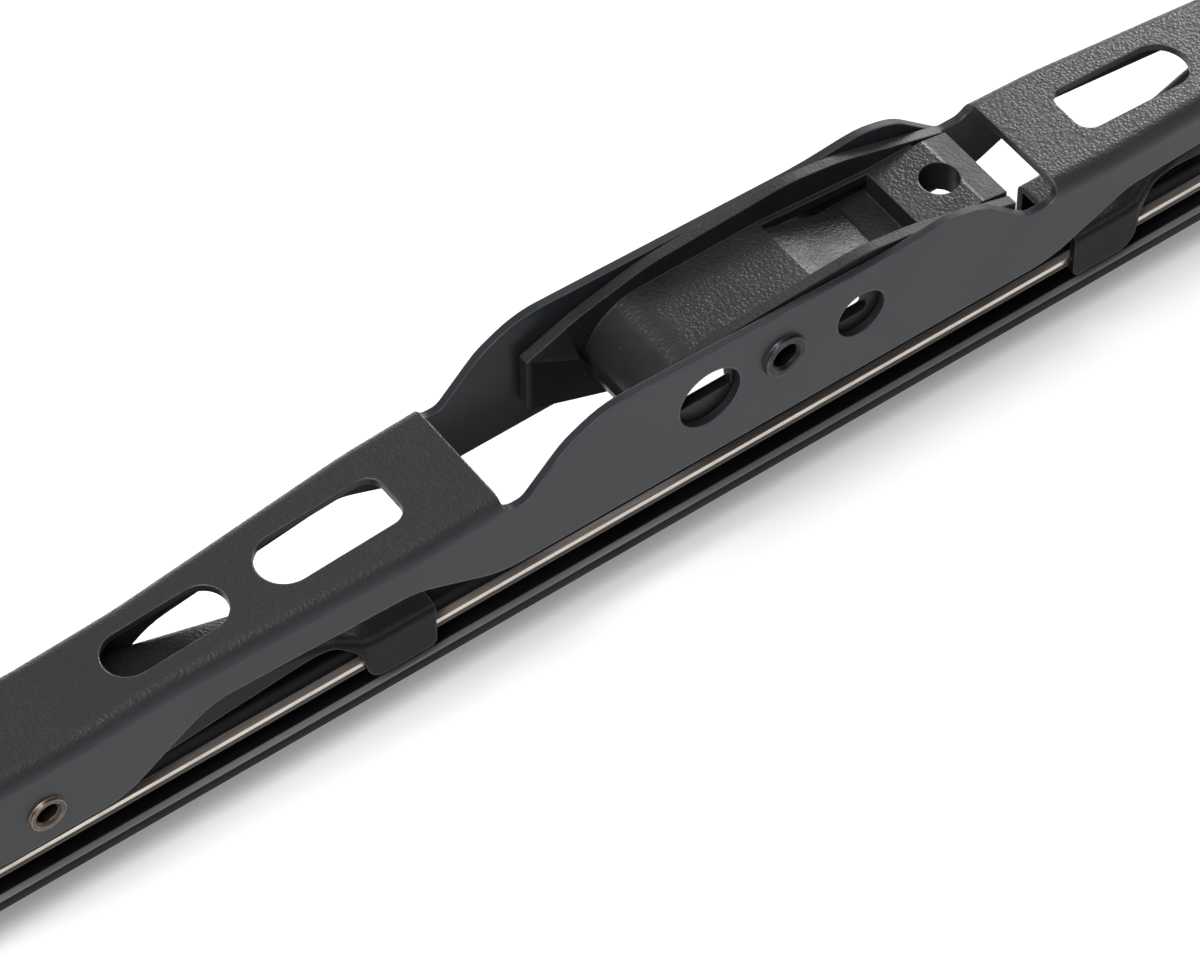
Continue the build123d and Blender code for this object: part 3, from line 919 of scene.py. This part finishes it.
class WiperLook(bpy.types.PropertyGroup):
    """Colours and surface sizes of the finishes."""

    wall_colour: FloatVectorProperty(
        name="Wall coat",
        description="Colour of the satin coat on the walls",
        subtype="COLOR",
        default=(0.013, 0.0145, 0.017),
    )
    # Painted shade: the yokes' walls sit in shade under the bridge, so their coat is a
    # darker copy of the wall coat
    yoke_shade_colour: FloatVectorProperty(
        name="Yoke coat",
        description="Colour of the coat on the yokes' walls",
        subtype="COLOR",
        default=(0.006, 0.006, 0.007),
    )
    top_colour: FloatVectorProperty(
        name="Top coat",
        description="Colour of the wrinkled coat on top",
        subtype="COLOR",
        default=(0.014, 0.014, 0.015),
    )
    # Colour at the cut edges: partly rubbed wear, partly a painted highlight
    edge_wear_highlight_colour: FloatVectorProperty(
        name="Rubbed edge",
        description="Colour of the coat where an edge is rubbed",
        subtype="COLOR",
        default=(0.16, 0.165, 0.17),
    )
    # How strongly the cut edges take the colour of wear and painted highlight
    edge_wear_and_highlight: FloatProperty(
        name="Edge rub", description="How much the edges are rubbed", default=0.6
    )
    edge_round: FloatProperty(
        name="Edge rounding",
        description="Radius of the light along the cut edges",
        default=0.3 * MM,
        unit="LENGTH",
    )
    wall_roughness: FloatProperty(
        name="Wall roughness", description="Roughness of the walls", default=0.36
    )
    top_roughness: FloatProperty(
        name="Top roughness", description="Roughness of the top", default=0.34
    )
    wrinkle_cell: FloatProperty(
        name="Wrinkle size",
        description="Width of one wrinkle of the coat",
        default=0.35 * MM,
        unit="LENGTH",
    )
    wrinkle_depth: FloatProperty(
        name="Wrinkle depth",
        description="Depth of the wrinkles",
        default=0.04 * MM,
        unit="LENGTH",
    )
    clip_colour: FloatVectorProperty(
        name="Clip plastic",
        description="Colour of the moulded clip",
        subtype="COLOR",
        default=(0.010, 0.010, 0.010),
    )
    clip_roughness: FloatProperty(
        name="Clip roughness", description="Roughness of the clip", default=0.3
    )
    clip_grain: FloatProperty(
        name="Clip grain",
        description="Width of the clip's moulded texture",
        default=0.36 * MM,
        unit="LENGTH",
    )
    clip_depth: FloatProperty(
        name="Clip grain depth",
        description="Depth of the clip's moulded texture",
        default=0.045 * MM,
        unit="LENGTH",
    )
    rail_colour: FloatVectorProperty(
        name="Rail steel",
        description="Colour of the steel rails",
        subtype="COLOR",
        default=(0.60, 0.55, 0.48),
    )
    rail_face_colour: FloatVectorProperty(
        name="Rail face",
        description="Colour of the rails' dull upper face",
        subtype="COLOR",
        default=(0.30, 0.26, 0.235),
    )
    rubber_colour: FloatVectorProperty(
        name="Rubber",
        description="Colour of the wiping rubber",
        subtype="COLOR",
        default=(0.0065, 0.006, 0.0065),
    )
    # Grey of the painted light on the rubber's outer shelf and ledge edge
    rubber_painted_light_colour: FloatVectorProperty(
        name="Rubber dust",
        description="Colour of the rubber where it stands out and catches dust",
        subtype="COLOR",
        default=(0.22, 0.21, 0.20),
    )
    rubber_roughness: FloatProperty(
        name="Rubber roughness", description="Roughness of the rubber", default=0.42
    )


class WiperStage(bpy.types.PropertyGroup):
    """Camera, lamps and floor."""

    lens: FloatProperty(name="Lens", description="Focal length in mm", default=179.7)
    eye: FloatVectorProperty(
        name="Camera place",
        description="Where the camera stands",
        subtype="TRANSLATION",
        default=(-0.24094, -0.30767, 0.45134),
    )
    key_power: FloatProperty(
        name="Key lamp",
        description="Power of the lamp low behind the right end",
        default=5.4,
    )
    fill_power: FloatProperty(
        name="Fill lamp", description="Power of the lamp overhead", default=11.0
    )
    sky: FloatProperty(
        name="Sky", description="Strength of the light all round", default=0.45
    )
    floor_glow: FloatProperty(
        name="Floor glow", description="White added to the floor as seen", default=0.17
    )
    far_glow: FloatProperty(
        name="Far glow",
        description="White added to the floor far from the blade",
        default=0.6,
    )


# Operators: one for each group of pieces


class WIPER_OT_effects(bpy.types.Operator):
    """Builds the shared shader effects"""

    bl_idname = "wiper.effects"
    bl_label = "Shared effects"

    def execute(self, context):
        make_wrinkle_group()
        make_edge_group()
        make_dust_group()
        make_drawn_group()
        return {"FINISHED"}


class WIPER_OT_bridge(bpy.types.Operator):
    """Coats the main bridge"""

    bl_idname = "wiper.bridge"
    bl_label = "Main bridge"

    def execute(self, context):
        look = context.scene.wiper_look
        material = sheet_coat(
            "bridge_coat", look, look.wall_colour, BRIDGE_SHINE, BRIDGE_PLAIN_HALF
        )
        dress("main_bridge", material)
        return {"FINISHED"}


class WIPER_OT_yokes(bpy.types.Operator):
    """Coats the two yokes"""

    bl_idname = "wiper.yokes"
    bl_label = "Yokes"

    def execute(self, context):
        look = context.scene.wiper_look
        # The yokes get a darker, duller copy of the coat as painted shade
        material = sheet_coat("yoke_coat_painted_shade", look, look.yoke_shade_colour, YOKE_SHADE_SHINE, 0.0)
        for name in ("left_yoke", "right_yoke"):
            dress(name, material)
        return {"FINISHED"}


class WIPER_OT_rivets(bpy.types.Operator):
    """Finishes the pivot rivet and the yoke rivets"""

    bl_idname = "wiper.rivets"
    bl_label = "Rivets"

    def execute(self, context):
        dark = rivet_metal("pivot_rivet_finish", *PIVOT_RIVET)
        dress("arm_pivot_rivet", dark)
        bronze = rivet_metal("yoke_rivet_finish", *YOKE_RIVET)
        for name in ("left_yoke_rivet", "right_yoke_rivet"):
            dress(name, bronze)
        return {"FINISHED"}


class WIPER_OT_clip(bpy.types.Operator):
    """Finishes the moulded arm clip"""

    bl_idname = "wiper.clip"
    bl_label = "Arm clip"

    def execute(self, context):
        look = context.scene.wiper_look
        dress("arm_clip", moulded_plastic("clip_moulding", look))
        return {"FINISHED"}


class WIPER_OT_rubber(bpy.types.Operator):
    """Sweeps the rubber's section along the blade"""

    bl_idname = "wiper.rubber"
    bl_label = "Rubber"

    def execute(self, context):
        sizes = context.scene.wiper_sizes
        lowest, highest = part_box("wiper_rubber")
        head, fin = sizes.head_half_width, sizes.fin_half_width
        slot = sizes.rail_half_span - sizes.rail_width - SLOT_GAP
        rail_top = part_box("front_rail")[1].z
        rail_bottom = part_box("front_rail")[0].z
        # Right half of the section, from the head down to the lip: y, z and radius
        half = [
            (head - HEAD_TAPER, highest.z, 0.45 * MM),
            (head, rail_top + SLOT_GAP, 0.12 * MM),
            (slot, rail_top + SLOT_GAP, 0.0),
            (slot, rail_bottom - SLOT_GAP, 0.0),
            (LEDGE_TOP_HALF, rail_bottom - SLOT_GAP, 0.0),
            (LEDGE_HALF, rail_bottom - LEDGE_CHAMFER, 0.06 * MM),
            (LEDGE_HALF, rail_bottom - LEDGE_DEPTH, 0.12 * MM),
            (NECK_HALF, rail_bottom - LEDGE_ROOT, 0.3 * MM),
            (NECK_HALF, NECK_FOOT, 0.2 * MM),
            (FIN_ROOT_HALF, FIN_TOP, 0.2 * MM),
            (fin, FIN_TOP, 0.22 * MM),
            (fin, FIN_FOOT, 0.15 * MM),
            (HINGE_HALF, HINGE_TOP, 0.2 * MM),
            (HINGE_HALF, HINGE_FOOT, 0.2 * MM),
            (WEDGE_HALF, WEDGE_TOP, 0.15 * MM),
            (WEDGE_HALF, WEDGE_FOOT, 0.15 * MM),
            (EDGE_HALF, lowest.z, 0.02 * MM),
        ]
        corners = half + [(-y, z, radius) for y, z, radius in reversed(half)]
        material = extruded_rubber("wiping_rubber", context.scene.wiper_look)
        strip_both_ways(
            "rubber",
            rounded(corners, RUBBER_CORNER),
            sizes.rubber_half_length,
            sizes.section_step,
            material,
            "wiper_rubber",
        )
        return {"FINISHED"}


class WIPER_OT_rails(bpy.types.Operator):
    """Sweeps the two steel rails along the blade"""

    bl_idname = "wiper.rails"
    bl_label = "Steel rails"

    def execute(self, context):
        sizes = context.scene.wiper_sizes
        material = rail_metal("rail_finish", context.scene.wiper_look)
        for name in ("front_rail", "back_rail"):
            low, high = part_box(name)
            corners = [
                (high.y, high.z),
                (high.y, low.z),
                (low.y, low.z),
                (low.y, high.z),
            ]
            strip_both_ways(
                name,
                rounded(corners, RAIL_CORNER),
                sizes.rail_half_length,
                sizes.section_step,
                material,
                name,
            )
        return {"FINISHED"}


class WIPER_OT_stage(bpy.types.Operator):
    """Sets the camera, the floor, the lamps and the sky"""

    bl_idname = "wiper.stage"
    bl_label = "Stage"

    def execute(self, context):
        stage = context.scene.wiper_stage
        self.place_camera(context, stage)
        self.lay_floor(context, stage)
        self.hang_lamps(context, stage)
        self.light_sky(context, stage)
        context.scene.view_settings.view_transform = "Standard"
        return {"FINISHED"}

    def place_camera(self, context, stage):
        """A long lens that looks down the blade from its left front."""
        data = bpy.data.cameras.new("photo_camera")
        data.lens = stage.lens
        data.clip_start, data.clip_end = CAMERA_REACH
        axes = Matrix((CAMERA_RIGHT, -CAMERA_DOWN, CAMERA_BACK)).transposed()
        camera = bpy.data.objects.new("photo_camera", data)
        place = Matrix.Translation(Vector(stage.eye))
        camera.matrix_world = place @ axes.to_4x4()
        context.scene.collection.objects.link(camera)
        context.scene.camera = camera

    def lay_floor(self, context, stage):
        """A white floor that brightens as it is seen, most of all far away."""
        level = cad_box[0].z - FLOOR_GAP
        ways = ((-1, -1), (1, -1), (1, 1), (-1, 1))
        corners = [(x * FLOOR_HALF, y * FLOOR_HALF, level) for x, y in ways]
        mesh = bpy.data.meshes.new("floor")
        mesh.from_pydata(corners, [], [(0, 1, 2, 3)])
        floor = bpy.data.objects.new("floor", mesh)
        context.scene.collection.objects.link(floor)
        material = bpy.data.materials.new("floor_white")
        material.use_nodes = True
        tree = material.node_tree
        tree.nodes.clear()
        diffuse = add_node(tree, "ShaderNodeBsdfDiffuse", {"Color": FLOOR_WHITE})
        place = tree.nodes.new("ShaderNodeTexCoord").outputs["Object"]
        away = add_node(
            tree, "ShaderNodeVectorMath", {0: place}, operation="LENGTH"
        ).outputs["Value"]
        white = ramp(tree, away, *GLOW_SPREAD, stage.floor_glow, stage.far_glow)
        strength = calc(tree, "MULTIPLY", seen_directly(tree), white)
        glow = add_node(tree, "ShaderNodeEmission", {"Strength": strength})
        both = add_node(
            tree, "ShaderNodeAddShader", {0: diffuse.outputs[0], 1: glow.outputs[0]}
        )
        output = tree.nodes.new("ShaderNodeOutputMaterial")
        tree.links.new(both.outputs[0], output.inputs["Surface"])
        floor.data.materials.append(material)

    def hang_lamps(self, context, stage):
        """A low key lamp behind the right end and a wide fill lamp overhead."""
        lamps = (
            ("key_lamp", KEY_PLACE, KEY_SIZE, stage.key_power),
            ("fill_lamp", FILL_PLACE, FILL_SIZE, stage.fill_power),
        )
        for name, place, size, power in lamps:
            data = bpy.data.lights.new(name, "AREA")
            data.shape = "SQUARE"
            data.size = size
            data.energy = power
            lamp = bpy.data.objects.new(name, data)
            lamp.location = place
            aim = LAMP_AIM - Vector(place)
            lamp.rotation_euler = aim.to_track_quat("-Z", "Y").to_euler()
            context.scene.collection.objects.link(lamp)

    def light_sky(self, context, stage):
        """An even sky, a little brighter behind, with a horizon seen as white."""
        world = bpy.data.worlds.new("studio_sky")
        context.scene.world = world
        world.use_nodes = True
        tree = world.node_tree
        tree.nodes.clear()
        direction = tree.nodes.new("ShaderNodeTexCoord").outputs["Generated"]
        parts = add_node(tree, "ShaderNodeSeparateXYZ", {0: direction}).outputs
        even = stage.sky * SKY_ALL_ROUND
        behind = ramp(tree, parts["Y"], *SKY_BEHIND_SPAN)
        strength = calc(tree, "MULTIPLY_ADD", behind, stage.sky * SKY_BEHIND, even)
        horizon = ramp(tree, parts["Z"], *HORIZON_SPAN)
        low = calc(tree, "MULTIPLY", seen_directly(tree), horizon)
        strength = calc(tree, "MULTIPLY_ADD", low, 1.0 - even, strength)
        sky = add_node(
            tree, "ShaderNodeBackground", {"Color": WHITE, "Strength": strength}
        )
        output = tree.nodes.new("ShaderNodeOutputWorld")
        tree.links.new(sky.outputs[0], output.inputs["Surface"])


STEPS = (
    WIPER_OT_effects,
    WIPER_OT_stage,
    WIPER_OT_bridge,
    WIPER_OT_yokes,
    WIPER_OT_rivets,
    WIPER_OT_clip,
    WIPER_OT_rubber,
    WIPER_OT_rails,
)


class WIPER_PT_panel(bpy.types.Panel):
    """The steps and the values of the wiper blade"""

    bl_idname = "WIPER_PT_panel"
    bl_label = "Wiper blade"
    bl_space_type = "VIEW_3D"
    bl_region_type = "UI"
    bl_category = "Wiper blade"

    def draw(self, context):
        layout = self.layout
        for step in STEPS:
            layout.operator(step.bl_idname)
        for values in (
            context.scene.wiper_sizes,
            context.scene.wiper_look,
            context.scene.wiper_stage,
        ):
            box = layout.box()
            for key in values.__annotations__:
                box.prop(values, key)


CLASSES = (WiperSizes, WiperLook, WiperStage, *STEPS, WIPER_PT_panel)


def register():
    """Registers the add-on's classes and its values on the scene."""
    for item in CLASSES:
        bpy.utils.register_class(item)
    bpy.types.Scene.wiper_sizes = PointerProperty(type=WiperSizes)
    bpy.types.Scene.wiper_look = PointerProperty(type=WiperLook)
    bpy.types.Scene.wiper_stage = PointerProperty(type=WiperStage)


def unregister():
    """Takes the add-on's classes and values away."""
    del bpy.types.Scene.wiper_stage
    del bpy.types.Scene.wiper_look
    del bpy.types.Scene.wiper_sizes
    for item in reversed(CLASSES):
        bpy.utils.unregister_class(item)


def main():
    """Runs every step in order."""
    register()
    bpy.ops.wiper.effects()
    bpy.ops.wiper.stage()
    bpy.ops.wiper.bridge()
    bpy.ops.wiper.yokes()
    bpy.ops.wiper.rivets()
    bpy.ops.wiper.clip()
    bpy.ops.wiper.rubber()
    bpy.ops.wiper.rails()


if __name__ == "__main__":
    main()
